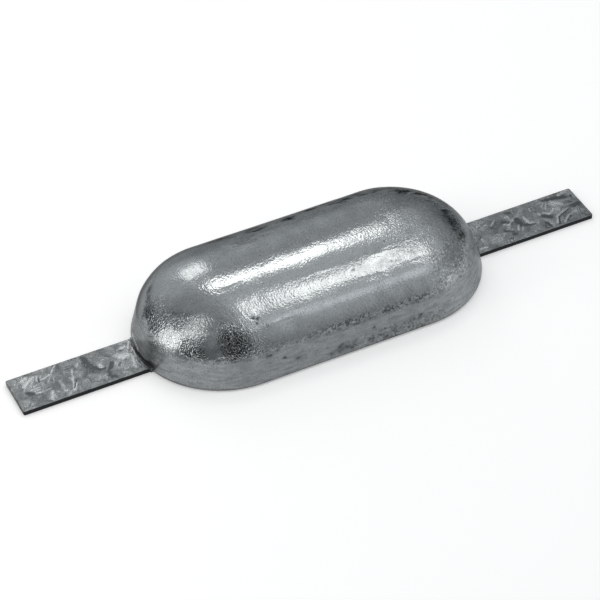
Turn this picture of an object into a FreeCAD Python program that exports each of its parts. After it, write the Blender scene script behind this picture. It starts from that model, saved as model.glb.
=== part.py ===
import FreeCAD, Part
import math
import os

# Sacrificial anode that is welded to a ship's hull: a domed zinc casting poured round one flat steel strap.
# Millimetres. The origin is at the middle of the flat back, on the plane that meets the hull.
# +X runs along the strap, +Z rises through the dome.

# Zinc body: a round-ended bar in plan, with a flat back and a crowned top
BODY_LENGTH = 300.0
BODY_WIDTH = 150.0
BODY_HEIGHT = 60.0
BACK_EDGE_RADIUS = 3.0  # soft edge between the flat back and the skirt
SKIRT_DRAFT = 14.5  # degrees that the skirt leans inwards, so that the casting leaves its mould
SHOULDER_RADIUS = 36.0  # bend from the skirt into the crown
CROWN_RADIUS = 104.0  # shallow arch over the top

# Steel strap: one length of flat bar, flush with the back of the body
STRAP_LENGTH = 510.0
STRAP_WIDTH = 40.0
STRAP_THICKNESS = 4.0
STRAP_CORNER_CHAMFER = 0.8  # sheared corners of the bar, seen from above

# Flash: zinc that ran into the mould's notch for the strap, a thin collar where the strap comes out
FLASH_THICKNESS = 0.8
FLASH_REACH = 1.6  # how far it stands out past the widest line of the body

X_AXIS = FreeCAD.Vector(1, 0, 0)
Y_AXIS = FreeCAD.Vector(0, 1, 0)
Z_AXIS = FreeCAD.Vector(0, 0, 1)
CENTRE = FreeCAD.Vector(0, 0, 0)

END_RADIUS = BODY_WIDTH / 2.0  # the two ends are half circles in plan
END_CENTRE_X = BODY_LENGTH / 2.0 - END_RADIUS
STRAIGHT_LENGTH = 2.0 * END_CENTRE_X


def out_and_up(out, up):
    """A point of the section: its distance out from the middle, and its height."""
    return FreeCAD.Vector(0, out, up)


def on_arc(centre, radius, angle):
    """The point of an arc at an angle in degrees above level."""
    turn = math.radians(angle)
    return centre + out_and_up(radius * math.cos(turn), radius * math.sin(turn))


def arc(centre, radius, start, end):
    """An arc of the section between two angles in degrees."""
    middle = (start + end) / 2.0
    points = [on_arc(centre, radius, angle) for angle in (start, middle, end)]
    return Part.Arc(*points).toShape()


def half_section():
    """Half of the body's cross-section, standing on the back: back, edge, skirt, shoulder and crown."""
    edge_centre = out_and_up(END_RADIUS - BACK_EDGE_RADIUS, BACK_EDGE_RADIUS)
    crown_centre = out_and_up(0, BODY_HEIGHT - CROWN_RADIUS)
    up_the_skirt = on_arc(CENTRE, 1.0, SKIRT_DRAFT + 90.0)

    # The shoulder slides up along the skirt until its arc just touches the crown's arc from inside.
    shoulder_start = on_arc(edge_centre, BACK_EDGE_RADIUS - SHOULDER_RADIUS, SKIRT_DRAFT)
    from_crown = shoulder_start - crown_centre
    along = from_crown.dot(up_the_skirt)
    touch = (CROWN_RADIUS - SHOULDER_RADIUS) ** 2 - from_crown.Length ** 2
    skirt_length = math.sqrt(along ** 2 + touch) - along
    shoulder_centre = shoulder_start + up_the_skirt * skirt_length

    towards_shoulder = shoulder_centre - crown_centre
    crown_angle = math.degrees(math.atan2(towards_shoulder.z, towards_shoulder.y))

    skirt_foot = on_arc(edge_centre, BACK_EDGE_RADIUS, SKIRT_DRAFT)
    skirt_top = on_arc(shoulder_centre, SHOULDER_RADIUS, SKIRT_DRAFT)
    back_outer = out_and_up(END_RADIUS - BACK_EDGE_RADIUS, 0)
    top = out_and_up(0, BODY_HEIGHT)
    outline = Part.Wire([
        Part.makeLine(CENTRE, back_outer),
        arc(edge_centre, BACK_EDGE_RADIUS, -90.0, SKIRT_DRAFT),
        Part.makeLine(skirt_foot, skirt_top),
        arc(shoulder_centre, SHOULDER_RADIUS, SKIRT_DRAFT, crown_angle),
        arc(crown_centre, CROWN_RADIUS, crown_angle, 90.0),
        Part.makeLine(top, CENTRE),
    ])
    return Part.Face(outline)


def dome():
    """The whole casting before the strap is let in: a straight middle and two turned ends."""
    section = half_section()
    section.translate(X_AXIS * -END_CENTRE_X)
    near_half = section.extrude(X_AXIS * STRAIGHT_LENGTH)
    far_half = near_half.mirror(CENTRE, Y_AXIS)
    left_end = section.revolve(X_AXIS * -END_CENTRE_X, Z_AXIS, 180)
    right_end = left_end.mirror(CENTRE, X_AXIS)
    return near_half.multiFuse([far_half, left_end, right_end])


def strap_bar():
    """The flat bar, lying on the plane of the back, with its corners clipped."""
    bar = Part.makeBox(STRAP_LENGTH, STRAP_WIDTH, STRAP_THICKNESS)
    bar.translate(FreeCAD.Vector(-STRAP_LENGTH / 2.0, -STRAP_WIDTH / 2.0, 0))
    corners = [edge for edge in bar.Edges if abs(edge.Length - STRAP_THICKNESS) < 1e-6]
    return bar.makeChamfer(STRAP_CORNER_CHAMFER, corners)


def flash_collar(side):
    """Zinc flash over the top and both edges of the strap at one end; side is -1 or +1."""
    height = STRAP_THICKNESS + FLASH_THICKNESS
    width = STRAP_WIDTH + 2.0 * FLASH_THICKNESS
    round_end = Part.makeCylinder(END_RADIUS + FLASH_REACH, height, X_AXIS * side * END_CENTRE_X)
    notch = Part.makeBox(END_RADIUS + FLASH_REACH, width, height)
    notch.translate(FreeCAD.Vector(0, -width / 2.0, 0))
    if side < 0:
        notch = notch.mirror(CENTRE, X_AXIS)
    notch.translate(X_AXIS * side * END_CENTRE_X)
    return round_end.common(notch)


def cast_body(strap):
    """The zinc: dome and flash in one piece, with the bed that the strap lies in."""
    collars = [flash_collar(-1), flash_collar(1)]
    zinc = dome().multiFuse(collars)
    return zinc.cut(strap).removeSplitter()


def save(name, shape):
    shape.exportStep("parts/" + name + ".step")
    print(name, "volume", round(shape.Volume), "solids", len(shape.Solids), "valid", shape.isValid())


os.makedirs("parts", exist_ok=True)
steel = strap_bar()
save("steel_strap", steel)
save("cast_body", cast_body(steel))
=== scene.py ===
import math

import bmesh
import bpy
import numpy as np
from mathutils import Matrix, Vector


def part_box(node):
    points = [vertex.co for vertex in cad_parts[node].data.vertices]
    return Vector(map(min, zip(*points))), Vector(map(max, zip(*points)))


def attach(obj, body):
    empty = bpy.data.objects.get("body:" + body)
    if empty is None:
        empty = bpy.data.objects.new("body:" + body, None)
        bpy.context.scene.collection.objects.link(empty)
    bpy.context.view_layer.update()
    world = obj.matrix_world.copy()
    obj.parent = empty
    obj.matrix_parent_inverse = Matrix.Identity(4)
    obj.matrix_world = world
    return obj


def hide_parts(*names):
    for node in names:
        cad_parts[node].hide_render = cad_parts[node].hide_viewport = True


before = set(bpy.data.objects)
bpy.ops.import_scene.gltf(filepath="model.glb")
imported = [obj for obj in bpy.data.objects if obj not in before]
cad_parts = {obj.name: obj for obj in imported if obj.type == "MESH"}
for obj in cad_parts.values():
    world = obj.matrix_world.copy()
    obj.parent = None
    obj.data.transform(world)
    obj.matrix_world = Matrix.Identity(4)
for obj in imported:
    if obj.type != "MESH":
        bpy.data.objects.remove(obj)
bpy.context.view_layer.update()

MM = 0.001

# Section of the zinc body as it is cast: back edge, skirt, shoulder and crown; the draft is in degrees
BACK_EDGE_RADIUS = 3.0 * MM
SKIRT_DRAFT = 14.5
SHOULDER_RADIUS = 36.0 * MM
CROWN_RADIUS = 104.0 * MM
FLASH_REACH = 1.6 * MM
FLASH_THICKNESS = 0.8 * MM
STRAP_CORNER_CLIP = 0.8 * MM

# Camera, found from the outline of the object in the photograph: degrees, metres and millimetres of lens
CAMERA_AZIMUTH = -24.388
CAMERA_ELEVATION = 41.335
CAMERA_ROLL = -2.375
CAMERA_DISTANCE = 2.13773
CAMERA_ASIDE = -0.00658
CAMERA_RAISED = -0.00082
CAMERA_LENS = 158.24
CAMERA_SENSOR = 36.0
CAMERA_SEES_TO = 50.0

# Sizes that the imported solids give
body_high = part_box("cast_body")[1]
strap_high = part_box("steel_strap")[1]
END_RADIUS = float(body_high[1])
END_CENTRE_X = float(body_high[0]) - FLASH_REACH - END_RADIUS
BODY_HEIGHT = float(body_high[2])
STRAP_HALF_LENGTH = float(strap_high[0])
STRAP_HALF_WIDTH = float(strap_high[1])
STRAP_THICKNESS = float(strap_high[2])

# How fine the meshes are
SKIN_PITCH = 0.92 * MM
STRAP_PITCH = 0.5 * MM
FLASH_STEPS = 81
FEWEST_STEPS = 8

# How far the skins lie inside the solids, in millimetres, so that no wave stands outside them
SKIN_SINK = 0.25
STRAP_SINK = 0.18


# Noise

WORD = 2 ** 32
HASH_START = 2654435761
HASH_AXES = (73856093, 19349663, 83492791)
HASH_STIR = 2246822519


def hashed(cells, seed):
    """A well mixed number between 0 and 1 for each row of whole numbers."""
    low_bits = np.uint64(WORD - 1)
    mixed = np.full(len(cells), seed * HASH_START % WORD, dtype=np.uint64)
    for column, factor in zip(cells.T, HASH_AXES):
        mixed ^= (column.astype(np.int64) * factor).astype(np.uint64) & low_bits
        mixed = (mixed * np.uint64(HASH_STIR)) & low_bits
        mixed ^= mixed >> np.uint64(15)
    return mixed.astype(float) / WORD


def noise(points, pitch, seed):
    """Smooth noise, about -1 to 1, whose lumps are one pitch apart."""
    scaled = points / pitch
    cell = np.floor(scaled)
    part = scaled - cell
    ease = part ** 3 * (part * (part * 6.0 - 15.0) + 10.0)
    total = np.zeros(len(points))
    for corner in np.ndindex(2, 2, 2):
        corner = np.array(corner)
        spot = cell + corner
        lean = np.stack([hashed(spot, seed + 11 * axis) - 0.5 for axis in range(3)], axis=1)
        weight = np.prod(np.where(corner, ease, 1.0 - ease), axis=1)
        total += weight * np.sum(lean * (part - corner), axis=1)
    return total * 3.0


def layered(points, pitch, seed, layers):
    """Noise with finer and fainter noise on top."""
    total = np.zeros(len(points))
    for layer in range(layers):
        total += noise(points, pitch / 2 ** layer, seed + 101 * layer) / 1.8 ** layer
    return total


def ramp(values, low, high):
    """0 below low, 1 above high, and an eased rise between them."""
    share = np.clip((values - low) / (high - low), 0.0, 1.0)
    return share * share * (3.0 - 2.0 * share)


def bell(values, middle, half_width):
    """1 at the middle, and a soft fall to 0 on both sides."""
    return np.exp(-((values - middle) / half_width) ** 2)


# Zinc body: its skin as a mesh

def section(row_pitch):
    """Rows of the half section from the back edge up to the crown: out, height, normal and run along it."""
    draft = math.radians(SKIRT_DRAFT)
    outward = np.array([math.cos(draft), math.sin(draft)])
    upward = np.array([-math.sin(draft), math.cos(draft)])
    edge_centre = np.array([END_RADIUS - BACK_EDGE_RADIUS, BACK_EDGE_RADIUS])
    crown_centre = np.array([0.0, BODY_HEIGHT - CROWN_RADIUS])
    start = edge_centre + (BACK_EDGE_RADIUS - SHOULDER_RADIUS) * outward
    along = (start - crown_centre) @ upward
    gap = (CROWN_RADIUS - SHOULDER_RADIUS) ** 2 - np.sum((start - crown_centre) ** 2)
    skirt_length = math.sqrt(along ** 2 + gap) - along
    shoulder_centre = start + skirt_length * upward
    crown_start = math.atan2(*(shoulder_centre - crown_centre)[::-1])
    pieces = [
        (edge_centre, BACK_EDGE_RADIUS, -math.pi / 2.0, draft),
        (None, skirt_length, draft, draft),
        (shoulder_centre, SHOULDER_RADIUS, draft, crown_start),
        (crown_centre, CROWN_RADIUS, crown_start, math.pi / 2.0),
    ]
    foot = edge_centre + BACK_EDGE_RADIUS * outward
    rows = []
    run = 0.0
    for centre, radius, first, last in pieces:
        length = radius if centre is None else radius * (last - first)
        steps = max(FEWEST_STEPS, round(length / row_pitch))
        for step in range(steps):
            share = step / steps
            angle = first + (last - first) * share
            normal = np.array([math.cos(angle), math.sin(angle)])
            point = foot + upward * length * share if centre is None else centre + radius * normal
            rows.append((*point, *normal, run + length * share))
        run += length
    rows.append((0.0, BODY_HEIGHT, 0.0, 1.0, run))
    return np.array(rows)


class Skin:
    """Points with their normals and their run along the section, and the faces between them."""

    def __init__(self):
        self.points = []
        self.normals = []
        self.runs = []
        self.faces = []

    def add(self, x, heading, row):
        """One point for each heading, round an upright axis at x, at a row of the section."""
        out, height, normal_out, normal_up, run = row
        first = len(self.points)
        for place, turn in zip(np.broadcast_to(x, len(heading)), heading):
            side, ahead = math.sin(turn), math.cos(turn)
            self.points.append((place + out * ahead, out * side, height))
            self.normals.append((normal_out * ahead, normal_out * side, normal_up))
            self.runs.append(run)
        return list(range(first, len(self.points)))

    def join(self, lower, upper):
        """Faces between two rows, where the upper has as many points, half as many spans, or one point."""
        if len(upper) == 1:
            self.faces += [(a, b, upper[0]) for a, b in zip(lower, lower[1:])]
        elif len(upper) == len(lower):
            for i in range(len(lower) - 1):
                self.faces.append((lower[i], lower[i + 1], upper[i + 1], upper[i]))
        else:
            for i in range(len(upper) - 1):
                a, b, c = lower[2 * i:2 * i + 3]
                self.faces += [(a, b, upper[i]), (b, upper[i + 1], upper[i]), (b, c, upper[i + 1])]


def dome_skin(pitch):
    """The skin of the dome, with its flat back as one face."""
    skin = Skin()
    rows = section(pitch)
    columns = round(2.0 * END_CENTRE_X / pitch)
    across = np.linspace(-END_CENTRE_X, END_CENTRE_X, columns + 1)
    front = [skin.add(across, np.full(columns + 1, -math.pi / 2.0), row) for row in rows[:-1]]
    back = [skin.add(across, np.full(columns + 1, math.pi / 2.0), row) for row in rows[:-1]]
    ridge = skin.add(across, np.zeros(columns + 1), rows[-1])
    for low, high in zip(front, front[1:] + [ridge]):
        skin.join(low, high)
    for low, high in zip(back, back[1:] + [ridge]):
        skin.join(low[::-1], high[::-1])

    rim_spans = 2 ** round(math.log2(math.pi * END_RADIUS / pitch))
    rims = []
    for side in (1, -1):
        column = columns if side > 0 else 0
        start = -math.pi / 2.0 if side > 0 else math.pi / 2.0
        starts, ends = (front, back) if side > 0 else (back, front)
        rings = []
        spans = rim_spans
        for j, row in enumerate(rows[:-1]):
            if spans > FEWEST_STEPS and row[0] < END_RADIUS * spans / rim_spans / 2.0:
                spans //= 2
            headings = start + math.pi * np.arange(1, spans) / spans
            inner = skin.add(side * END_CENTRE_X, headings, row)
            rings.append([starts[j][column], *inner, ends[j][column]])
        for low, high in zip(rings, rings[1:] + [[ridge[column]]]):
            skin.join(low, high)
        rims.append(rings[0])
    right_rim, left_rim = rims
    outline = front[0][:-1] + right_rim[:-1] + back[0][::-1][:-1] + left_rim[:-1]
    skin.faces.append(tuple(outline[::-1]))
    return skin


# Marks on the casting's front, placed by x and by the run up the section, in millimetres.
# A lap is a cold edge of metal that ran over metal already set.
LAPS = [
    # x from, x to, run at start, run at end, height, length of the fade above
    (-68.0, -30.0, 48.6, 50.0, 0.24, 7.0),
    (-40.0, -12.0, 53.2, 54.0, 0.20, 5.0),
    (20.0, 50.0, 61.4, 58.8, 0.24, 4.0),
    (38.0, 74.0, 76.6, 73.0, 0.20, 3.0),
    (45.0, 92.0, 79.0, 77.5, 0.12, 2.5),
    (-24.0, 14.0, 76.6, 77.0, 0.12, 3.0),
    (16.0, 34.0, 70.2, 70.0, 0.14, 2.5),
    (56.0, 88.0, 61.6, 60.4, 0.10, 3.0),
    (-84.0, -60.0, 91.0, 93.6, 0.20, 4.0),
]
# A swell is a broad rise, or where its height is negative, a sink.
SWELLS = [
    # x, run, half length, half width, height
    (84.0, 100.0, 15.0, 30.0, -0.40),
    (-52.0, 60.0, 24.0, 9.0, 0.16),
    (28.0, 84.0, 20.0, 6.0, -0.08),
    (-20.0, 90.0, 16.0, 6.0, 0.10),
    (55.0, 70.0, 9.0, 5.0, -0.10),
    (2.0, 66.0, 14.0, 7.0, 0.10),
]
# A pit is a small hole with a ragged outline.
PITS = [
    # x, run, half length, half width, depth
    (-70.5, 58.4, 1.6, 1.2, 0.26),
    (-67.6, 57.0, 2.0, 1.3, 0.26),
    (-69.4, 53.6, 1.0, 1.6, 0.20),
    (22.0, 69.8, 2.2, 0.9, 0.22),
    (54.5, 65.8, 1.6, 1.1, 0.16),
    (58.0, 64.6, 1.2, 0.8, 0.14),
    (57.4, 85.0, 1.0, 1.0, 0.20),
    (-66.5, 25.2, 3.4, 0.9, 0.26),
    (-58.5, 27.2, 1.2, 0.8, 0.20),
    (-54.6, 19.2, 2.4, 1.3, 0.26),
    (-43.4, 15.0, 3.4, 1.5, 0.18),
    (-15.0, 8.0, 2.4, 1.3, 0.20),
    (-7.0, 10.8, 1.8, 1.0, 0.20),
    (3.0, 28.0, 2.6, 0.9, 0.18),
    (9.6, 26.6, 3.0, 1.2, 0.24),
    (24.0, 18.0, 1.8, 1.4, 0.18),
    (33.0, 14.0, 1.4, 1.0, 0.22),
    (19.0, 9.4, 2.4, 1.2, 0.22),
    (41.0, 11.0, 1.4, 0.9, 0.20),
    (65.0, 14.6, 2.4, 1.4, 0.22),
]


class Places:
    """The skin's points in metres, their places in millimetres, and two zones from 0 to 1.

    The front is the near side of the straight middle. The dome is all above the skirt.
    """

    def __init__(self, skin):
        self.points = np.array(skin.points)
        self.run = np.array(skin.runs) / MM
        self.x, self.y, self.height = self.points.T / MM
        near_side = ramp(-self.y, 2.0, 12.0)
        self.front = near_side * (1.0 - ramp(np.abs(self.x), 78.0, 96.0))
        uneven_run = self.run + 3.0 * noise(self.points, 12.0 * MM, 8)
        self.dome = ramp(uneven_run, 23.0, 33.0)


def lap_relief(skin):
    """Height of the cold laps in millimetres: a sharp edge below and a slow fade above."""
    along_only = skin.points * (1.0, 0.0, 0.0)
    wander = noise(along_only, 14.0 * MM, 71) * 0.9
    wander += noise(along_only, 4.0 * MM, 72) * 0.35
    height = np.zeros(len(skin.x))
    for x_from, x_to, run_from, run_to, rise, length in LAPS:
        share = (skin.x - x_from) / (x_to - x_from)
        past = skin.run - (run_from + (run_to - run_from) * share + wander)
        fade = ramp(share, 0.0, 0.3) * (1.0 - ramp(share, 0.6, 1.0)) * skin.front
        edge = ramp(past, -0.6, 0.6) * np.exp(-np.maximum(past, 0.0) / length)
        height += rise * edge * fade
    return height


def swell_height(skin):
    """Height of the swells and sinks in millimetres."""
    facing = ramp(-skin.y, -4.0, 6.0)
    height = np.zeros(len(skin.x))
    for swell_x, swell_run, half_length, half_width, rise in SWELLS:
        spread = bell(skin.x, swell_x, half_length) * bell(skin.run, swell_run, half_width)
        height += rise * spread * facing
    return height


def pit_depth(skin):
    """Depth of the named pits in millimetres, with ragged outlines."""
    ragged = 1.0 + 0.45 * np.clip(noise(skin.points, 2.2 * MM, 73), -1.0, 1.0)
    depth = np.zeros(len(skin.x))
    for pit_x, pit_run, half_length, half_width, deep in PITS:
        along = (skin.x - pit_x) / half_length
        across = (skin.run - pit_run) / half_width
        away = np.hypot(along, across) * ragged
        depth += deep * np.exp(-1.6 * away ** 2) * skin.front
    return depth


# Dark smears, in millimetres, partly stains and partly painted shade: the smears along the back and round
# the right end are painted shade standing in for darker reflections.
# Their place lengthways is x in the straight middle and carries on round the ends, so that the tips of the
# body lie at -193 and 193. Side -1 is the front half, 1 the back half.
STAINS_AND_SHADES = [
    # lengthways, side, run, half length, half width, strength
    (-52.0, 1, 58.0, 15.0, 5.0, 0.75),
    (-24.0, 1, 62.0, 9.0, 8.0, 0.85),
    (-38.0, 1, 80.0, 16.0, 12.0, 0.25),
    (6.0, 1, 62.0, 11.0, 7.0, 0.80),
    (28.0, 1, 56.0, 20.0, 4.0, 0.80),
    (60.0, 1, 62.0, 17.0, 7.0, 0.90),
    (86.0, 1, 66.0, 14.0, 4.0, 0.55),
    (98.0, 1, 59.0, 18.0, 5.0, 0.70),
    (128.0, 1, 66.0, 20.0, 8.5, 1.00),
    (148.0, 1, 63.0, 16.0, 8.5, 1.00),
    (172.0, 1, 62.0, 14.0, 6.5, 0.95),
    (180.0, -1, 59.5, 13.0, 6.5, 1.00),
    (163.0, -1, 54.5, 13.0, 6.5, 1.00),
    (149.0, -1, 46.0, 11.0, 5.0, 0.85),
    (-160.0, 1, 49.0, 12.0, 4.0, 0.45),
    (-184.0, 1, 42.0, 14.0, 8.0, 0.60),
    (-188.0, -1, 37.0, 10.0, 9.0, 0.60),
    (-4.0, -1, 10.0, 15.0, 5.0, 0.75),
    (34.0, -1, 8.0, 16.0, 4.0, 0.35),
    (62.0, -1, 12.0, 12.0, 6.0, 0.20),
]


def lengthways(points):
    """Place along the body: x in the straight middle, then on round each end along the foot."""
    x, y = points[:, 0], points[:, 1]
    past = np.maximum(np.abs(x) - END_CENTRE_X, 0.0)
    turned = END_RADIUS * np.arctan2(past, np.abs(y))
    return np.where(past > 0.0, np.sign(x) * (END_CENTRE_X + turned), x) / MM


def stained_and_shaded(skin):
    """How far each point is darkened by the smears, partly stains and partly painted shade, 0 to 1, with
    streaky edges.
    """
    place_along = lengthways(skin.points)
    side = np.sign(skin.y)
    streaks = layered(skin.points * (0.5, 1.0, 1.0), 5.0 * MM, 74, 3)
    shade = np.zeros(len(skin.x))
    for stain_along, stain_side, stain_run, half_length, half_width, strength in STAINS_AND_SHADES:
        along = (place_along - stain_along) / half_length
        across = (skin.run - stain_run) / half_width
        away = along ** 2 + across ** 2
        shade += strength * ramp(1.0 - away + 1.5 * streaks, 0.0, 1.3) * (side == stain_side)
    return np.clip(shade, 0.0, 1.0)


def hammered_ends(skin):
    """The lower dome at both ends, which froze in hammered facets, with a smooth gap at the left."""
    x, y = skin.x, skin.y
    low = 1.0 - ramp(skin.run + 4.0 * noise(skin.points, 9.0 * MM, 10), 55.0, 66.0)
    left = ramp(-x, 58.0, 84.0) * ramp(-y, -20.0, -8.0)
    right = 0.8 * ramp(np.abs(x), 70.0, 92.0)
    hammered = np.where(x < 0.0, left, right) * low * (0.12 + 0.88 * skin.dome)
    gap = bell(lengthways(skin.points), -117.0, 8.0)
    return hammered * (1.0 - 0.9 * gap * ramp(-y, 0.0, 10.0))


def grain_masks(skin, hammered):
    """How grained the skin is, and how brushed lengthways. The lower front left is calm."""
    x, run = skin.x, skin.run
    drift = ramp(-x, 20.0, 45.0)
    calm = ramp(-x, -10.0, 30.0) * skin.front * ramp(run, 31.0, 35.0)
    calm *= 1.0 - ramp(run + 4.0 * drift, 48.0, 53.0)
    patchy = 0.5 + 0.5 * np.clip(layered(skin.points, 16.0 * MM, 5, 2) * 1.6, -1.0, 1.0)
    grain = (0.15 + 0.85 * skin.dome) * (0.45 + 0.55 * patchy) * (1.0 - 0.75 * calm)
    upper = ramp(run + 5.0 * drift, 46.0, 56.0)
    return grain, upper * grain * (1.0 - hammered)


def seam_mask(skin):
    """The dotted line at the front, where the dome meets the skirt."""
    seam = bell(skin.run, 29.5, 3.4) * ramp(-skin.y, 0.0, 20.0)
    fade_left = 0.40 + 0.60 * ramp(skin.x, -40.0, -5.0)
    fade_right = 1.0 - 0.8 * ramp(skin.x, 66.0, 90.0)
    return seam * (fade_left * fade_right)


def painted_band_mask(skin):
    """The painted dark stripe along the top of the skirt, a painted reflection of the dark gap between
    floor and lamps, strongest at the front.
    """
    front = ramp(-skin.y, 20.0, 45.0) * (1.0 - ramp(skin.x, 70.0, 90.0))
    painted_band = np.exp(-np.abs((skin.run - 28.8) / 3.0) ** 3) * (0.15 + 0.40 * front)
    return painted_band * (1.0 + 0.9 * np.clip(noise(skin.points, 7.0 * MM, 6), -0.8, 0.8))


def shine_mask(skin):
    """How bright the metal is: -1 where it is matt, up to 1 on the dome."""
    x, run, dome = skin.x, skin.run, skin.dome
    skirt = 1.0 - dome
    front_left = 0.5 * ramp(-x, 92.0, 116.0) * skirt * ramp(-skin.y, 2.0, 20.0)
    right_skirt = 0.9 * ramp(x, 126.0, 138.0) * skirt
    right_shoulder = 1.4 * ramp(x, 112.0, 128.0) * (1.0 - ramp(run, 38.0, 50.0)) * dome
    return dome + front_left - right_skirt - right_shoulder


def painted_light_mask(skin):
    """Painted light and shade: how much lighter the zinc is painted than its plain colour, or darker where
    this is below 0.
    """
    x, y, run, front = skin.x, skin.y, skin.run, skin.front
    skirt = 1.0 - skin.dome
    # Painted light: lighter reflections painted on the right of the front skirt, over the left strap, along
    # the right rim and on the front shoulder.
    pale = 0.26 * ramp(x, 60.0, 105.0) * skirt * ramp(-y, 0.0, 20.0)
    over_left_strap = ramp(-x, 128.0, 138.0) * (1.0 - ramp(np.abs(y), 8.0, 18.0))
    pale += 0.22 * over_left_strap * skirt
    right_rim = ramp(x, 96.0, 116.0) * ramp(y, -14.0, 4.0)
    pale += 0.30 * right_rim * bell(run, 46.5, 4.0)
    pale += 0.12 * ramp(-x, 0.0, 35.0) * front * bell(run, 40.0, 9.0)
    # The oval at the front left is a painted dark reflection; the cloud at the front right is a mottled
    # darker patch.
    oval = bell(x, -91.4, 12.0) * bell(run, 43.8, 9.0)
    cloud = bell(x, 52.0, 30.0) * bell(run, 68.0, 11.0)
    mottled = np.clip(layered(skin.points, 7.0 * MM, 13, 2), -1.0, 1.0)
    return pale - (0.52 * oval + cloud * (0.22 + 0.25 * mottled)) * front


def shaded_crease_mask(skin):
    """The crease over the strap at the left end, darkened with painted shade, deeper at its front corner
    and faint at the back.
    """
    y = skin.y
    top = 4.4 + 3.6 * ramp(-y, 10.0, 17.0)
    crease = ramp(-skin.x, 139.0, 141.0) * (1.0 - ramp(skin.height, top, top + 2.0))
    crease *= 1.0 - 0.85 * ramp(y, 1.0, 9.0)
    return crease * ramp(-y, -12.0, -6.0) * (1.0 - ramp(-y, 21.0, 26.0))


def skin_relief(skin, hammered, grain, brushed, scattered):
    """How far the skin stands out from the drawn section, in millimetres: waves, lumps, flow and facets."""
    points = skin.points
    waves = layered(points, 45.0 * MM, 1, 2) * 0.20
    lumps = noise(points, 11.0 * MM, 2) * 0.050 * (0.3 + 0.7 * skin.dome)
    flow = noise(points * (0.4, 1.0, 1.0), 4.0 * MM, 7) * 0.036 * brushed
    crinkle = layered(points * (1.2, 0.55, 0.55), 2.8 * MM, 3, 2) * 0.030 * brushed
    crinkle += noise(points, 2.6 * MM, 4) * 0.022 * grain
    facets = layered(points, 5.2 * MM, 12, 2) * 0.045 * hammered
    return waves + lumps + flow + crinkle + facets - scattered - SKIN_SINK


def weathered(mesh_skin):
    """The skin's points moved by waves, crinkles, laps and pits, and the masks that the material reads."""
    skin = Places(mesh_skin)
    x, run = skin.x, skin.run
    hammered = hammered_ends(skin)
    grain, brushed = grain_masks(skin, hammered)
    seam = seam_mask(skin)
    stain_and_shade = stained_and_shaded(skin)
    pits = pit_depth(skin)
    streak_ends = ramp(x, 46.0, 74.0) * ramp(run, 60.0, 68.0)
    scabby = ramp(x, 2.0, 24.0) * (1.0 - ramp(run, 11.0, 19.0)) * skin.front
    scattered = ramp(noise(skin.points, 3.4 * MM, 9), 0.50, 0.85) * (0.05 + 0.12 * scabby)
    scattered *= 1.0 - 0.6 * skin.dome

    offset = skin_relief(skin, hammered, grain, brushed, scattered) - pits
    offset += lap_relief(skin) + swell_height(skin)
    offset *= ramp(skin.height, 0.5, 6.0)
    moved = skin.points + np.array(mesh_skin.normals) * offset[:, None] * MM
    half_length = END_CENTRE_X + END_RADIUS
    moved = np.clip(moved, (-half_length, -END_RADIUS, 0.0), (half_length, END_RADIUS, BODY_HEIGHT))

    flecked_ends = np.where(x < 0.0, 0.1, 0.4) * hammered
    masks = {
        "grain": grain,
        "brushed": brushed,
        # Where the hammer marks stand out: as bumps, and in the colour as painted glints.
        "speck": np.clip(hammered + 0.45 * seam + 0.55 * streak_ends, 0.0, 1.0),
        "dome": skin.dome,
        "painted_band": painted_band_mask(skin),
        # Painted contact shade along the foot of the skirt.
        "foot": 1.0 - ramp(skin.height, 0.9, 2.9),
        "shine": shine_mask(skin),
        "pale": painted_light_mask(skin),
        "stain_and_shade": stain_and_shade,
        "fleck": np.clip(seam + 0.6 * scabby + flecked_ends + 0.6 * stain_and_shade, 0.0, 1.0),
        # Dark pits, and painted shade in the crease over the left strap.
        "pits_and_shade": np.clip(pits / 0.2 + scattered * 6.0 + 0.85 * shaded_crease_mask(skin), 0.0, 1.0),
    }
    return moved, masks


def new_mesh(name, points, faces, masks=None):
    """A smooth-shaded object from points and faces, with a named value on each point for each mask."""
    mesh = bpy.data.meshes.new(name)
    mesh.from_pydata([tuple(p) for p in points], [], faces)
    for key, values in (masks or {}).items():
        layer = mesh.attributes.new(key, "FLOAT", "POINT")
        layer.data.foreach_set("value", np.asarray(values, dtype=float))
    thing = bpy.data.objects.new(name, mesh)
    bpy.context.scene.collection.objects.link(thing)
    tidy = bmesh.new()
    tidy.from_mesh(mesh)
    bmesh.ops.recalc_face_normals(tidy, faces=tidy.faces)
    tidy.to_mesh(mesh)
    tidy.free()
    mesh.polygons.foreach_set("use_smooth", [True] * len(mesh.polygons))
    return thing


def tube_faces(rings, ring):
    """Faces along a tube of rings, each of so many points, and a cap on both ends."""
    faces = []
    for i in range(rings - 1):
        for j in range(ring):
            k = (j + 1) % ring
            faces.append((ring * i + j, ring * i + k, ring * (i + 1) + k, ring * (i + 1) + j))
    faces.append(tuple(range(ring)))
    faces.append(tuple(range(ring * (rings - 1), ring * rings))[::-1])
    return faces


def cut_or_join(thing, tool, operation):
    """Applies an exact boolean, then deletes the tool."""
    step = thing.modifiers.new(operation, "BOOLEAN")
    step.operation = operation
    step.solver = "EXACT"
    step.object = tool
    bpy.context.view_layer.objects.active = thing
    with bpy.context.temp_override(object=thing, active_object=thing):
        bpy.ops.object.modifier_apply(modifier=step.name)
    bpy.data.objects.remove(tool)


def strap_bed():
    """The bar's own space, longer than the body, to be cut from the zinc."""
    half_x, half_y = STRAP_HALF_LENGTH, STRAP_HALF_WIDTH
    low, high = -MM, STRAP_THICKNESS
    points = [(x, y, z) for x in (-half_x, half_x) for y in (-half_y, half_y) for z in (low, high)]
    faces = [(0, 1, 3, 2), (4, 6, 7, 5), (0, 4, 5, 1), (2, 3, 7, 6), (0, 2, 6, 4), (1, 5, 7, 3)]
    return new_mesh("strap_bed", points, faces)


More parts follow.
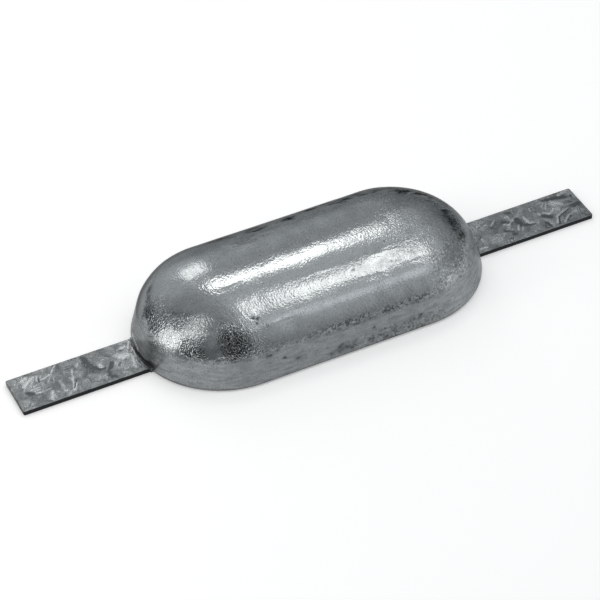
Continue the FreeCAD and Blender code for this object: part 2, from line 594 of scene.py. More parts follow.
def flash_section(rim, reach, crest, lift):
    """The flash's section as (out, height) points. Lift is 1 where a bead stands on the skirt."""
    low = STRAP_THICKNESS + 0.08 * MM
    return [
        (rim - 4.0 * MM, 0.0),
        (rim - 4.0 * MM, low + (0.2 + 3.6 * lift) * MM),
        (rim - 2.0 * MM, low + (0.2 + 4.0 * lift) * MM),
        (rim - (0.9 - 0.55 * lift) * MM, low + (0.2 + 3.5 * lift) * MM),
        (rim - (0.9 - 0.65 * lift) * MM, low + (0.2 + 2.6 * lift) * MM),
        (rim - (0.9 - 0.10 * lift) * MM, low + (0.2 + 1.8 * lift) * MM),
        (rim - 0.3 * MM, low + 0.12 * MM),
        (rim + 0.45 * reach, low + 0.06 * MM),
        (rim + 0.75 * reach, low + crest),
        (rim + reach, low),
        (rim + reach, 0.0),
    ]


def flash(side):
    """Zinc flash round one end of the strap: a low fin on the strap and a groove at the foot of the skirt.

    At the back half of the left end a bead of zinc stands on the skirt above the groove.
    """
    half = STRAP_HALF_WIDTH + FLASH_THICKNESS
    across = np.linspace(-half, half, FLASH_STEPS)
    line = np.stack([across, across * 0.0, across * 0.0 + side], axis=1)
    ragged = np.clip(layered(line, 4.0 * MM, 31, 2), -1.0, 1.0)
    left = 1.0 if side < 0 else 0.0
    bead = left * ramp(across, -3.0 * MM, 5.0 * MM) * (1.0 - ramp(across, 16.0 * MM, 20.0 * MM))
    bright = left * ramp(across, -8.0 * MM, -4.0 * MM) * (1.0 - ramp(across, 5.0 * MM, 8.0 * MM))
    reach = FLASH_REACH * np.clip(0.45 + 0.35 * left + 0.20 * ragged, 0.2, 1.0)
    reach *= 1.0 - 0.6 * ramp(np.abs(across), half - 1.2 * MM, half)
    crest = FLASH_THICKNESS * np.clip(0.15 + 0.6 * bright + 0.20 * ragged, 0.05, 1.0)
    points = []
    for y, *shape in zip(across, reach, crest, bead):
        rim = math.sqrt(END_RADIUS ** 2 - y ** 2)
        points += [(side * (END_CENTRE_X + out), y, height) for out, height in flash_section(rim, *shape)]
    return new_mesh("flash", points, tube_faces(FLASH_STEPS, len(points) // FLASH_STEPS))


def paint_flash_shade_and_highlights(body):
    """Darkens the groove at the foot of the left end with painted shade, and lightens the lips beside it
    with painted highlights, made matt.

    The Boolean gives the flash none of the body's masks, so they are set here by place.
    """
    mesh = body.data
    points = np.empty(3 * len(mesh.vertices), np.float32)
    mesh.vertices.foreach_get("co", points)
    x, y, z = points.reshape(-1, 3).T
    out = np.hypot(x + END_CENTRE_X, y) - END_RADIUS
    above = z - STRAP_THICKNESS
    near = (x < 0.0) & (np.abs(y) < STRAP_HALF_WIDTH + FLASH_THICKNESS) & (out > -2.0 * MM)
    near = near & (above > -0.01 * MM) & (above < 4.6 * MM)
    lip = ramp(y, 8.5 * MM, 11.5 * MM) * (1.0 - ramp(y, 19.0 * MM, 20.5 * MM))
    edge = ramp(y, 1.0 * MM, 4.0 * MM) * ramp(above, 2.0 * MM, 2.8 * MM)
    fin = ramp(y, -10.0 * MM, -6.0 * MM) * (1.0 - ramp(y, 6.0 * MM, 9.0 * MM)) * (out > 0.6 * MM)
    light = near * np.maximum(np.maximum(lip, edge), fin)
    groove = near * (1.0 - ramp(y, 8.0 * MM, 11.0 * MM)) * (1.0 - ramp(above, 1.9 * MM, 2.6 * MM))
    # The groove gets painted shade, and the lips painted highlights and a matt finish.
    changes = {"pits_and_shade": groove * (1.0 - light), "pale": 0.7 * light, "shine": -light}
    for name, change in changes.items():
        values = np.empty(len(mesh.vertices), np.float32)
        layer = mesh.attributes[name].data
        layer.foreach_get("value", values)
        layer.foreach_set("value", (values + change).astype(np.float32))


def make_body():
    """The zinc casting: its skin with the flash joined on and the strap's bed cut out."""
    skin = dome_skin(SKIN_PITCH)
    points, masks = weathered(skin)
    body = new_mesh("zinc_body", points, skin.faces, masks)
    for side in (-1, 1):
        cut_or_join(body, flash(side), "UNION")
    cut_or_join(body, strap_bed(), "DIFFERENCE")
    paint_flash_shade_and_highlights(body)
    return body


# Steel strap

CRYSTALS = 150
CRYSTAL_SEED = 12

# Fronds of the spangle that stand out on the two bare arms: the two ends of each, half width, and how much
# lighter or darker it is. All in millimetres from the middle of the strap.
FRONDS = [
    # left arm
    (-244.0, 13.0, -240.0, 15.5, 1.8, 1.0),
    (-245.0, 7.0, -234.0, 14.0, 1.2, 0.8),
    (-233.0, 8.0, -231.0, 14.0, 0.8, 0.8),
    (-230.0, 8.0, -228.0, 13.0, 0.7, 0.5),
    (-240.0, 5.0, -235.0, 11.0, 0.8, 0.5),
    (-246.0, 2.0, -242.0, 8.0, 0.9, 0.4),
    (-231.7, 6.0, -231.0, 11.0, 0.6, -0.6),
    (-241.0, 4.0, -233.0, 4.2, 0.6, 0.4),
    (-241.0, 0.5, -233.0, 1.0, 0.6, 0.5),
    (-240.0, -2.0, -234.0, -1.5, 0.6, 0.6),
    (-239.5, -4.5, -235.0, -5.3, 0.7, 0.8),
    (-237.0, -4.8, -226.0, -5.0, 0.6, 0.5),
    (-244.5, -1.5, -240.5, -4.0, 1.4, -1.1),
    (-229.5, -16.0, -226.0, -8.0, 1.2, 0.8),
    (-229.0, 8.0, -221.0, 10.5, 0.8, 0.6),
    (-219.5, 12.0, -214.0, 18.5, 0.6, 0.7),
    (-225.0, 3.0, -220.0, 10.0, 0.6, 0.5),
    (-222.0, 0.0, -218.5, 8.0, 0.6, 0.4),
    (-216.5, 0.0, -216.5, -8.0, 1.6, 0.45),
    (-216.5, -12.0, -215.5, -12.5, 1.3, 0.8),
    (-222.5, -10.0, -221.5, -10.5, 1.2, 0.6),
    (-210.5, -15.0, -204.0, 7.0, 0.7, 0.7),
    (-209.5, -15.5, -205.5, -8.0, 0.6, 0.8),
    (-209.5, -13.0, -207.0, -8.0, 0.5, -0.6),
    (-208.5, 0.0, -207.5, -7.0, 0.8, 0.5),
    (-192.0, 17.0, -190.0, 12.0, 1.5, -0.8),
    (-191.0, 10.0, -187.0, 0.0, 3.4, -0.7),
    (-186.0, 1.0, -184.5, -1.5, 1.3, -0.8),
    (-199.0, 9.0, -196.5, 13.0, 0.6, 0.6),
    (-182.0, 3.0, -181.5, 0.0, 1.6, 0.8),
    (-172.0, 0.5, -179.5, -11.0, 1.4, -1.0),
    (-184.0, -3.0, -179.5, -3.0, 1.0, -0.7),
    (-180.5, -11.0, -176.0, -7.0, 0.7, 0.8),
    (-178.0, -14.0, -175.0, -16.0, 1.2, -0.6),
    (-168.5, -5.0, -167.0, -3.0, 1.0, -0.6),
    (-163.0, 4.0, -161.0, 2.5, 3.2, 0.8),
    (-158.5, 5.5, -157.5, 4.0, 2.2, 0.6),
    (-160.0, 12.0, -156.0, 13.5, 1.2, 0.8),
    (-161.0, 11.0, -160.0, 10.5, 0.9, -0.6),
    (-159.5, 1.5, -161.0, -1.5, 0.8, -0.6),
    (-157.0, -13.0, -155.0, 0.0, 1.2, 0.5),
    (-154.0, 11.0, -150.5, 17.0, 0.8, 0.9),
    (-152.0, -2.0, -151.5, 9.0, 0.5, 0.8),
    # right arm
    (152.0, -14.5, 157.0, -15.2, 1.1, 0.8),
    (165.0, 9.0, 170.0, 10.0, 0.8, 0.4),
    (173.0, 7.0, 178.0, 12.0, 0.8, 0.7),
    (172.0, 6.0, 172.5, 5.0, 1.5, -0.5),
    (184.0, 7.0, 189.0, 4.0, 2.0, -0.5),
    (180.0, -4.0, 186.0, -8.0, 0.9, -0.7),
    (185.0, -11.5, 186.0, -11.5, 1.5, -0.8),
    (180.5, -15.0, 181.0, -15.0, 1.1, -0.6),
    (183.0, 4.0, 186.5, 1.0, 0.8, 0.6),
    (187.0, 1.0, 193.0, 6.0, 0.8, 0.8),
    (190.5, 12.0, 191.0, 7.0, 0.7, 0.6),
    (192.0, 16.0, 193.0, 15.0, 2.0, -0.6),
    (196.0, 4.0, 197.0, -4.0, 2.2, -0.9),
    (191.0, -8.0, 194.0, -2.5, 0.8, 0.9),
    (194.0, -10.0, 197.0, -4.0, 0.6, 0.6),
    (203.0, 4.0, 203.0, -1.5, 1.1, 1.0),
    (203.0, -4.0, 206.5, -5.0, 1.1, 0.8),
    (201.0, -5.0, 201.5, -5.5, 1.4, -0.9),
    (203.0, -7.0, 207.0, -7.5, 0.9, -0.5),
    (216.0, -10.0, 218.0, -16.0, 1.1, -0.8),
    (212.0, -14.0, 212.5, -15.0, 3.6, -0.35),
    (218.5, -12.0, 219.5, -18.0, 0.8, 0.6),
    (216.0, 2.0, 216.5, 1.0, 1.6, 0.6),
    (220.0, 1.5, 223.0, -1.0, 1.2, 0.9),
    (218.0, -2.0, 223.0, -6.0, 1.8, -1.0),
    (224.0, 5.0, 227.0, 10.5, 0.7, 0.8),
    (221.5, 9.0, 226.0, 13.0, 0.7, 0.5),
    (232.0, 9.0, 238.0, 5.5, 2.4, 0.6),
    (233.0, 12.0, 240.0, 5.0, 0.8, 0.7),
    (227.0, 16.0, 246.0, 12.0, 1.6, -0.9),
    (243.0, 16.0, 252.0, 19.0, 1.4, 0.6),
    (240.0, 8.5, 250.0, 8.0, 1.2, 0.35),
    (229.0, 2.0, 250.0, 2.0, 0.7, 0.35),
    (224.0, -15.0, 228.0, -8.0, 0.8, 0.8),
    (228.0, -7.5, 240.0, -2.5, 0.9, 0.8),
    (225.0, -17.0, 229.0, -9.0, 0.8, -0.8),
    (229.0, -9.0, 240.0, -4.0, 0.8, -0.7),
    (230.0, -17.0, 236.0, -12.0, 0.8, 0.8),
    (233.0, -16.0, 239.0, -12.0, 0.7, -0.6),
    (236.0, -11.0, 246.0, -8.0, 0.8, 0.6),
    (223.0, -2.0, 230.0, 2.0, 0.7, 0.6),
    (232.0, 1.0, 234.0, -1.0, 0.8, 0.6),
    (248.0, -1.0, 254.0, -1.0, 2.4, -0.6),
    (251.0, 8.0, 252.0, 12.0, 0.9, -0.6),
]


def frond_height(points):
    """The fronds as one height on the strap: 1 on a light one, -1 on a dark one, and 0 between them."""
    total = np.zeros(len(points))
    for x_from, y_from, x_to, y_to, half_width, strength in FRONDS:
        start = np.array([x_from, y_from]) * MM
        span = np.array([x_to, y_to]) * MM - start
        share = np.clip((points - start) @ span / (span @ span), 0.0, 1.0)
        away = np.linalg.norm(points - start - share[:, None] * span, axis=1) / (half_width * MM)
        total += strength * np.exp(-away ** 2)
    return total


def crystals(points, random, count, half_length, half_width):
    """Spangle of hot-dip zinc: each crystal has its own tone, and ribs on both sides of a spine."""
    centres = random.uniform((-half_length, -half_width), (half_length, half_width), (count, 2))
    angles = random.uniform(0.0, math.pi, count)
    tones = random.uniform(0.0, 1.0, count)
    pitches = random.uniform(1.7, 2.8, count) * MM
    slenderness = random.uniform(1.0, 2.2, count)
    best = np.full(len(points), np.inf)
    second = np.full(len(points), np.inf)
    owner = np.zeros(len(points), dtype=int)
    for i in range(count):
        offset = points - centres[i]
        along = offset[:, 0] * math.cos(angles[i]) + offset[:, 1] * math.sin(angles[i])
        beside = offset[:, 1] * math.cos(angles[i]) - offset[:, 0] * math.sin(angles[i])
        reach = np.hypot(along / slenderness[i], beside)
        nearer = reach < best
        second = np.where(nearer, best, np.minimum(second, reach))
        owner = np.where(nearer, i, owner)
        best = np.minimum(best, reach)
    turn = angles[owner]
    offset = points - centres[owner]
    along = offset[:, 0] * np.cos(turn) + offset[:, 1] * np.sin(turn)
    beside = offset[:, 1] * np.cos(turn) - offset[:, 0] * np.sin(turn)
    phase = (along + np.abs(beside) * 1.2) / pitches[owner]
    ribs = (0.5 + 0.5 * np.sin(2.0 * math.pi * phase)) ** 2
    border = np.clip((second - best) / (0.9 * MM), 0.0, 1.0)
    return ribs, tones[owner], border


def strap_rows():
    """Half of the bar's section as (out, height) points, from the middle of its top to its bottom edge."""
    corner = 0.35 * MM
    flat_to = STRAP_HALF_WIDTH - corner
    rows = [(out, STRAP_THICKNESS) for out in np.linspace(0.0, flat_to, 40)]
    for angle in (30.0, 60.0, 90.0):
        turn = math.radians(angle)
        rows.append((flat_to + corner * math.sin(turn), STRAP_THICKNESS - corner + corner * math.cos(turn)))
    for height in (2.8, 2.0, 1.2):
        rows.append((STRAP_HALF_WIDTH, height * MM))
    for angle in (0.0, 30.0, 60.0, 90.0):
        turn = math.radians(angle)
        rows.append((flat_to + corner * math.cos(turn), corner - corner * math.sin(turn)))
    return rows


def spangle(points):
    """The relief of the spangle in millimetres, and the masks that the material reads."""
    flat = points[:, :2]
    warp = np.stack([layered(points, 6.0 * MM, seed, 2) for seed in (41, 42)], axis=1) * 1.6 * MM
    random = np.random.default_rng(CRYSTAL_SEED)
    half_width = STRAP_HALF_WIDTH + 4.0 * MM
    ribs, tone, border = crystals(flat + warp, random, CRYSTALS, STRAP_HALF_LENGTH, half_width)
    feather = ramp(layered(points, 8.0 * MM, 43, 2), -0.25, 0.45)
    fronds = frond_height(flat + warp * 0.25)
    relief = (ribs * feather * 0.10 + (tone - 0.5) * 0.03 + border * 0.05) * border
    relief += 0.04 * layered(points, 4.0 * MM, 44, 2) + 0.10 * fronds
    masks = {"tone": tone, "ribs": ribs * feather * border, "border": border, "fronds": fronds}
    return relief, masks


def make_strap():
    """The galvanised bar, fine along its bare arms and plain between them, inside the zinc."""
    half_rows = strap_rows()
    loop = [(-out, height) for out, height in half_rows[::-1]] + half_rows[1:]
    arm_from = END_CENTRE_X + END_RADIUS - 6.0 * MM
    arm_steps = round((STRAP_HALF_LENGTH - arm_from) / STRAP_PITCH)
    arm = np.linspace(arm_from, STRAP_HALF_LENGTH, arm_steps + 1)
    columns = np.concatenate([-arm[::-1], arm])
    along = np.repeat(columns, len(loop))
    out, height = np.tile(np.array(loop).T, len(columns))
    from_end = STRAP_HALF_LENGTH - np.abs(along)
    clip = np.maximum(STRAP_CORNER_CLIP - from_end, 0.0)
    out = out * (1.0 - clip / STRAP_HALF_WIDTH)
    points = np.stack([along, out, height], axis=1)

    relief, masks = spangle(points)
    drop = (STRAP_SINK - relief) * MM * ramp(STRAP_HALF_WIDTH - np.abs(out), 0.2 * MM, 1.4 * MM)
    drop = np.clip(drop * ramp(from_end, 0.0, 1.2 * MM), 0.0, 0.35 * MM)
    top = height > STRAP_THICKNESS - 0.01 * MM
    points[:, 2] -= np.where(top, drop, 0.0)
    return new_mesh("galvanised_strap", points, tube_faces(len(columns), len(loop)), masks)


# Materials

def node(tree, kind, inputs=None, **settings):
    """A shader node with its settings and its inputs, each a value or another node's output."""
    made = tree.nodes.new("ShaderNode" + kind)
    for key, value in settings.items():
        setattr(made, key, value)
    for key, value in (inputs or {}).items():
        if isinstance(value, bpy.types.NodeSocket):
            tree.links.new(value, made.inputs[key])
        else:
            made.inputs[key].default_value = value
    return made


def maths(tree, operation, first, second=0.5, third=0.5):
    return node(tree, "Math", {0: first, 1: second, 2: third}, operation=operation).outputs[0]


def remap(tree, value, from_low, from_high, to_low=0.0, to_high=1.0, **settings):
    """A value carried from one range to another, and held inside it."""
    inputs = {"Value": value, "From Min": from_low, "From Max": from_high}
    inputs.update({"To Min": to_low, "To Max": to_high})
    return node(tree, "MapRange", inputs, **settings).outputs["Result"]


def mix_colour(tree, factor, first, second, blend="MIX"):
    mixer = node(tree, "Mix", {0: factor, 6: first, 7: second}, data_type="RGBA", blend_type=blend)
    return mixer.outputs[2]


def attribute(tree, name):
    return node(tree, "Attribute", attribute_name=name).outputs["Fac"]


def place(tree, stretch=(1.0, 1.0, 1.0)):
    """The point on the object, in metres, stretched so that a texture can be longer one way."""
    where = node(tree, "TexCoord").outputs["Object"]
    return node(tree, "Mapping", {"Vector": where, "Scale": stretch}).outputs["Vector"]


def speckle(tree, where, pitch, detail, roughness=0.5):
    """Noise between 0 and 1 whose lumps are one pitch apart, in metres."""
    inputs = {"Vector": where, "Scale": 1.0 / pitch, "Detail": detail, "Roughness": roughness}
    return node(tree, "TexNoise", inputs).outputs["Fac"]


def new_material(name):
    """A material with its node tree and its main shader."""
    material = bpy.data.materials.new(name)
    material.use_nodes = True
    tree = material.node_tree
    return material, tree, tree.nodes["Principled BSDF"]


ZINC = (0.374, 0.393, 0.401, 1.0)
ZINC_DULL = (0.274, 0.288, 0.294, 1.0)
ZINC_SKIRT = (0.303, 0.320, 0.327, 1.0)
# Near-black for pits and for painted shade.
ZINC_PIT_AND_SHADE = (0.05, 0.053, 0.056, 1.0)
ZINC_RIM = (0.25, 0.25, 0.25, 1.0)


def beads(tree, where, pitch):
    """Round beads between 0 and 1, of mixed sizes, scattered about one pitch apart."""
    cells = node(tree, "TexVoronoi", {"Vector": where, "Scale": 1.0 / pitch})
    return remap(tree, cells.outputs["Distance"], 0.42, 0.05, interpolation_type="SMOOTHSTEP")


def squiggles(tree, where, pitch):
    """Thin winding ridges between 0 and 1, about one pitch apart."""
    off_level = maths(tree, "ABSOLUTE", maths(tree, "SUBTRACT", speckle(tree, where, pitch, 0.6), 0.5))
    return remap(tree, off_level, 0.10, 0.01, interpolation_type="SMOOTHSTEP")


def hammer_marks(tree, where):
    """Beads and winding ridges together, between 0 and 1."""
    ridges = maths(tree, "MULTIPLY", squiggles(tree, where, 2.2 * MM), 0.5)
    return maths(tree, "MULTIPLY_ADD", beads(tree, where, 2.5 * MM), 0.8, ridges)


def zinc_gain(tree, where, dome):
    """How much lighter or darker than its plain grey the zinc is: grit, hammer marks painted lighter as
    painted glints, and the painted light and shade of the pale mask.
    """
    grit = maths(tree, "SUBTRACT", speckle(tree, where, 0.9 * MM, 1.0), 0.5)
    gain = maths(tree, "MULTIPLY_ADD", grit, remap(tree, dome, 0.0, 1.0, 0.7, 0.6), 1.0)
    # The hammer marks are painted lighter, as painted glints.
    marks = maths(tree, "SUBTRACT", hammer_marks(tree, where), 0.28)
    gain = maths(tree, "MULTIPLY_ADD", marks, maths(tree, "MULTIPLY", attribute(tree, "speck"), 0.8), gain)
    # Painted light and shade from the pale mask.
    return maths(tree, "ADD", gain, attribute(tree, "pale"))


def zinc_colour(tree, where, mottle):
    """Grey, mottled on the dome and streaked on the skirt, with dark pits and flecks, smears that are
    partly painted shade, a painted dark stripe of reflection at the top of the skirt, and painted shade at
    the foot and by the left strap.
    """
    dome = attribute(tree, "dome")
    fine = speckle(tree, where, 1.6 * MM, 2.0, 0.6)
    coarse = speckle(tree, where, 2.3 * MM, 1.0)
    streaks = speckle(tree, place(tree, (0.2, 0.2, 1.0)), 2.4 * MM, 3.0, 0.6)
    cast = mix_colour(tree, remap(tree, mottle, 0.35, 0.68, 0.0, 0.6), ZINC, ZINC_DULL)
    skirt = mix_colour(tree, remap(tree, streaks, 0.40, 0.72, 0.0, 0.45), ZINC_SKIRT, ZINC_PIT_AND_SHADE)
    colour = mix_colour(tree, dome, skirt, cast)
    gain = zinc_gain(tree, where, dome)
    colour = node(tree, "VectorMath", {0: colour, "Scale": gain}, operation="SCALE").outputs[0]

    pores = remap(tree, fine, 0.42, 0.30, 0.0, 0.35)
    flecks = maths(tree, "MULTIPLY", attribute(tree, "fleck"), remap(tree, coarse, 0.50, 0.60, 0.0, 0.85))
    # A painted dark stripe at the top of the skirt, a painted reflection.
    painted_banding = maths(tree, "MULTIPLY", attribute(tree, "painted_band"), remap(tree, fine, 0.65, 0.35, 0.3, 1.0))
    # Smears, partly stains and partly painted shade.
    smeared_and_shaded = maths(tree, "MULTIPLY", attribute(tree, "stain_and_shade"), remap(tree, coarse, 0.35, 0.65, 0.55, 1.0))
    # Painted contact shade along the foot of the skirt.
    foot = maths(tree, "MULTIPLY", attribute(tree, "foot"), 0.8)
    # Dark pits, with painted shade at the foot and by the left strap.
    dark_pits_and_shade = maths(tree, "MAXIMUM", attribute(tree, "pits_and_shade"), foot)
    for share in (pores, flecks, painted_banding, smeared_and_shaded, dark_pits_and_shade):
        colour = mix_colour(tree, share, colour, ZINC_PIT_AND_SHADE)
    return colour


def zinc_material():
    """As-cast zinc: glossy and wrinkled on the dome, half matt on the skirt that lay against the mould."""
    material, tree, shader = new_material("as_cast_zinc")
    where = place(tree)
    mottle = speckle(tree, where, 14.0 * MM, 3.0, 0.6)
    colour = zinc_colour(tree, where, mottle)

    shine = attribute(tree, "shine")
    gloss = remap(tree, shine, -1.0, 1.0, 0.37, 0.11)
    gloss = maths(tree, "ADD", gloss, remap(tree, mottle, 0.3, 0.7, -0.02, 0.05))
    metal = remap(tree, shine, -1.0, 1.0, 0.10, 1.0)

    strands = speckle(tree, place(tree, (1.0, 0.5, 0.5)), 1.5 * MM, 2.0, 0.55)
    dimples = speckle(tree, where, 1.4 * MM, 0.8, 0.5)
    height = maths(tree, "MULTIPLY", strands, maths(tree, "MULTIPLY", attribute(tree, "brushed"), 0.38))
    grain = maths(tree, "MULTIPLY", attribute(tree, "grain"), 0.28)
    height = maths(tree, "MULTIPLY_ADD", dimples, grain, height)
    hammered = maths(tree, "MULTIPLY", attribute(tree, "speck"), 0.35)
    height = maths(tree, "MULTIPLY_ADD", hammer_marks(tree, where), hammered, height)
    bump = node(tree, "Bump", {"Strength": 1.0, "Distance": 0.40 * MM, "Height": height})

    shader.inputs["Specular Tint"].default_value = ZINC_RIM
    shader.inputs["Specular IOR Level"].default_value = 0.2
    tree.links.new(colour, shader.inputs["Base Color"])
    tree.links.new(metal, shader.inputs["Metallic"])
    tree.links.new(gloss, shader.inputs["Roughness"])
    tree.links.new(bump.outputs["Normal"], shader.inputs["Normal"])
    return material


SPANGLE_LIGHT = (0.40, 0.418, 0.425, 1.0)
SPANGLE_DARK = (0.075, 0.082, 0.085, 1.0)
UPRIGHT_SIDE_DARK = (0.022, 0.024, 0.026, 1.0)


def galvanised_material():
    """Hot-dip galvanised steel: feathery crystals of many greys, nearly black on the upright sides of the
    bar.
    """
    material, tree, shader = new_material("galvanised_steel")
    where = place(tree)
    tone = attribute(tree, "tone")
    ribs = attribute(tree, "ribs")
    fine = speckle(tree, where, 1.2 * MM, 3.0, 0.6)
    broad = speckle(tree, where, 9.0 * MM, 2.0, 0.5)

    shade = maths(tree, "MULTIPLY_ADD", tone, 0.16, maths(tree, "MULTIPLY", ribs, 0.58))
    shade = maths(tree, "ADD", shade, remap(tree, broad, 0.3, 0.7, -0.02, 0.20))
    shade = maths(tree, "ADD", shade, remap(tree, fine, 0.3, 0.7, -0.2, 0.2))
    shade = maths(tree, "MULTIPLY_ADD", attribute(tree, "fronds"), 0.95, shade)
    shade = maths(tree, "MULTIPLY_ADD", attribute(tree, "border"), 0.14, shade)
    colour = mix_colour(tree, shade, SPANGLE_DARK, SPANGLE_LIGHT)
    # The bar's upright sides are coloured nearly black.
    upright = node(tree, "SeparateXYZ", {0: node(tree, "NewGeometry").outputs["Normal"]}).outputs["Z"]
    edge = remap(tree, maths(tree, "ABSOLUTE", upright), 0.75, 0.45, 0.0, 1.0)
    colour = mix_colour(tree, edge, colour, UPRIGHT_SIDE_DARK)

    gloss = remap(tree, shade, 0.0, 1.0, 0.34, 0.22)
    bump = node(tree, "Bump", {"Strength": 1.0, "Distance": 0.28 * MM, "Height": fine})
    tree.links.new(colour, shader.inputs["Base Color"])
    tree.links.new(gloss, shader.inputs["Roughness"])
    tree.links.new(bump.outputs["Normal"], shader.inputs["Normal"])
    shader.inputs["Metallic"].default_value = 1.0
    return material


# Studio

def direction(azimuth, elevation):
    """A unit vector; azimuth 0 is the viewer's side of the strap, 90 its right end."""
    turn, rise = math.radians(azimuth), math.radians(elevation)
    return Vector((math.sin(turn) * math.cos(rise), -math.cos(turn) * math.cos(rise), math.sin(rise)))


LAMP_COLOUR = (1.0, 0.975, 0.95)
LAMP_DISTANCE = 1.5
SOFTBOXES = [
    # name, azimuth, elevation, width and height in degrees, brightness, and whether it is a ceiling lamp
    ("overhead_box", 86.5, 65.7, 22.0, 14.4, 2.05, True),
    ("back_box", 160.6, 57.2, 22.5, 11.0, 3.1, True),
    ("left_box", -96.0, 15.0, 23.0, 42.0, 2.6, False),
    ("left_high_box", -84.0, 51.0, 20.0, 24.0, 1.45, False),
    ("left_strip", -98.0, 66.0, 9.0, 8.0, 1.8, False),
    ("right_strip", 53.0, 5.0, 9.0, 9.0, 1.1, False),
    ("far_box", 179.0, 32.0, 12.0, 16.0, 1.75, False),
]


def softbox(name, azimuth, elevation, wide, tall, brightness, ceiling):
    """A rectangular lamp that faces the object; wide and tall are the degrees that it fills.

    Its width runs level, or for a ceiling lamp, along the strap.
    """
    lamp = bpy.data.lights.new(name, "AREA")
    lamp.shape = "RECTANGLE"
    lamp.size = 2.0 * LAMP_DISTANCE * math.tan(math.radians(wide / 2.0))
    lamp.size_y = 2.0 * LAMP_DISTANCE * math.tan(math.radians(tall / 2.0))
    lamp.energy = brightness * math.pi * lamp.size * lamp.size_y
    lamp.color = LAMP_COLOUR
    back = direction(azimuth, elevation)
    across = Vector((1.0, 0.0, 0.0)) if ceiling else Vector((0.0, 0.0, 1.0)).cross(back)
    upright = back.cross(across).normalized()
    turned = Matrix((upright.cross(back), upright, back)).transposed().to_4x4()
    holder = bpy.data.objects.new(name, lamp)
    holder.matrix_world = Matrix.Translation(back * LAMP_DISTANCE) @ turned
    holder.visible_camera = False
    bpy.context.scene.collection.objects.link(holder)


# Grey studio: soft lighter and darker zones on an even grey
STUDIO_GREY = 0.46
STUDIO_DARKEST = 0.05
STUDIO_TINT = (0.972, 1.0, 1.018, 1.0)
ZONES = [
    # azimuth, elevation, half width and half height in degrees, and how much brighter
    (-8.0, 38.0, 17.0, 47.0, -0.40),  # black flag beside the camera
    (12.0, 46.0, 7.0, 40.0, -0.14),
    (2.0, 15.0, 14.0, 14.0, -0.18),
    (-29.0, 46.0, 7.0, 30.0, -0.22),
    (-13.0, 54.0, 13.0, 13.0, -0.34),
    (-58.0, 10.0, 11.0, 27.0, -0.38),  # gaps beside the left lamps
    (-40.0, 14.0, 10.0, 22.0, -0.18),
    (-73.0, 0.0, 14.0, 9.0, -0.35),
    (-127.0, 52.0, 10.0, 12.0, -0.18),
    (-53.0, 46.0, 9.0, 12.0, -0.12),
    (45.0, 34.0, 26.0, 41.0, 0.34),  # pale wall to the right of the camera
    (55.0, 2.0, 9.0, 14.0, 0.22),
    (38.0, 56.0, 12.0, 11.0, 0.42),
    (-135.0, 6.0, 17.0, 19.0, -0.32),
    (116.0, 13.0, 17.0, 11.0, -0.27),
    (149.0, 0.0, 16.0, 12.0, -0.12),
    (138.0, 38.0, 6.0, 14.0, 0.24),
    (172.0, 10.0, 18.0, 20.0, 0.30),  # low wall behind
    (111.0, 64.0, 74.0, 25.0, 0.36),  # round the overhead and back lamps
    (-175.0, 30.0, 27.0, 25.0, 0.30),
]


def make_world():
    """The studio as a background: an even grey with every zone added to it."""
    world = bpy.data.worlds.new("studio")
    bpy.context.scene.world = world
    world.use_nodes = True
    tree = world.node_tree
    aim = node(tree, "SeparateXYZ", {0: node(tree, "TexCoord").outputs["Generated"]})
    turn = maths(tree, "ARCTAN2", aim.outputs["X"], maths(tree, "MULTIPLY", aim.outputs["Y"], -1.0))
    turn = maths(tree, "DEGREES", turn)
    rise = maths(tree, "DEGREES", maths(tree, "ARCSINE", aim.outputs["Z"]))
    brightness = STUDIO_GREY
    for azimuth, elevation, half_width, half_height, amount in ZONES:
        aside = maths(tree, "WRAP", maths(tree, "SUBTRACT", turn, azimuth), 180.0, -180.0)
        aside = maths(tree, "DIVIDE", aside, half_width)
        above = maths(tree, "DIVIDE", maths(tree, "SUBTRACT", rise, elevation), half_height)
        apart = maths(tree, "MULTIPLY_ADD", aside, aside, maths(tree, "MULTIPLY", above, above))
        squared = maths(tree, "MULTIPLY", apart, apart)
        mask = maths(tree, "EXPONENT", maths(tree, "MULTIPLY", squared, -1.0))
        brightness = maths(tree, "MULTIPLY_ADD", mask, amount, brightness)
    brightness = maths(tree, "MAXIMUM", brightness, STUDIO_DARKEST)
    tree.nodes["Background"].inputs["Color"].default_value = STUDIO_TINT
    tree.links.new(brightness, tree.nodes["Background"].inputs["Strength"])


FLOOR_HALF = 12.0
FLOOR_LEVEL = -0.2 * MM
FLOOR_COLOUR = (0.9, 0.9, 0.9, 1.0)
FLOOR_GLOW = 0.30
WHITE = (1.0, 1.0, 1.0, 1.0)


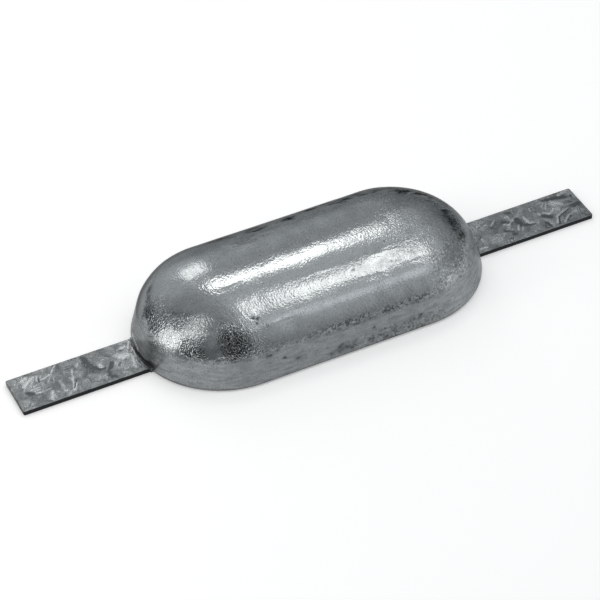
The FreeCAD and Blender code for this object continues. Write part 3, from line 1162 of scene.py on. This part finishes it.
def make_floor():
    """A pale floor that glows a little where it is seen, so that it comes out white."""
    half, level = FLOOR_HALF, FLOOR_LEVEL
    points = [(-half, -half, level), (half, -half, level), (half, half, level), (-half, half, level)]
    floor = new_mesh("floor", points, [(0, 1, 2, 3)])
    material, tree, shader = new_material("pale_floor")
    shader.inputs["Base Color"].default_value = FLOOR_COLOUR
    shader.inputs["Roughness"].default_value = 1.0
    shader.inputs["Specular IOR Level"].default_value = 0.0
    path = node(tree, "LightPath").outputs
    seen = maths(tree, "MAXIMUM", path["Is Camera Ray"], path["Is Glossy Ray"])
    seen = maths(tree, "MAXIMUM", seen, path["Is Transmission Ray"])
    glow = maths(tree, "MULTIPLY", seen, FLOOR_GLOW)
    shader.inputs["Emission Color"].default_value = WHITE
    tree.links.new(glow, shader.inputs["Emission Strength"])
    floor.data.materials.append(material)


def make_camera():
    """The photograph's camera."""
    back = direction(CAMERA_AZIMUTH, CAMERA_ELEVATION)
    level = Vector((0.0, 0.0, 1.0)).cross(back).normalized()
    upright = back.cross(level)
    turn = math.radians(CAMERA_ROLL)
    right = level * math.cos(turn) + upright * math.sin(turn)
    up = upright * math.cos(turn) - level * math.sin(turn)
    spot = right * CAMERA_ASIDE + up * CAMERA_RAISED + back * CAMERA_DISTANCE
    camera = bpy.data.objects.new("camera", bpy.data.cameras.new("camera"))
    camera.data.lens = CAMERA_LENS
    camera.data.sensor_width = CAMERA_SENSOR
    camera.data.clip_end = CAMERA_SEES_TO
    camera.matrix_world = Matrix.Translation(spot) @ Matrix((right, up, back)).transposed().to_4x4()
    bpy.context.scene.collection.objects.link(camera)
    bpy.context.scene.camera = camera


def main():
    """The two pieces, each in the place of its solid, and the studio round them."""
    body = make_body()
    body.data.materials.append(zinc_material())
    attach(body, "root")
    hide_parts("cast_body")

    strap = make_strap()
    strap.data.materials.append(galvanised_material())
    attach(strap, "root")
    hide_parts("steel_strap")

    make_camera()
    make_world()
    make_floor()
    for lamp in SOFTBOXES:
        softbox(*lamp)
    bpy.context.scene.view_settings.view_transform = "Standard"


main()
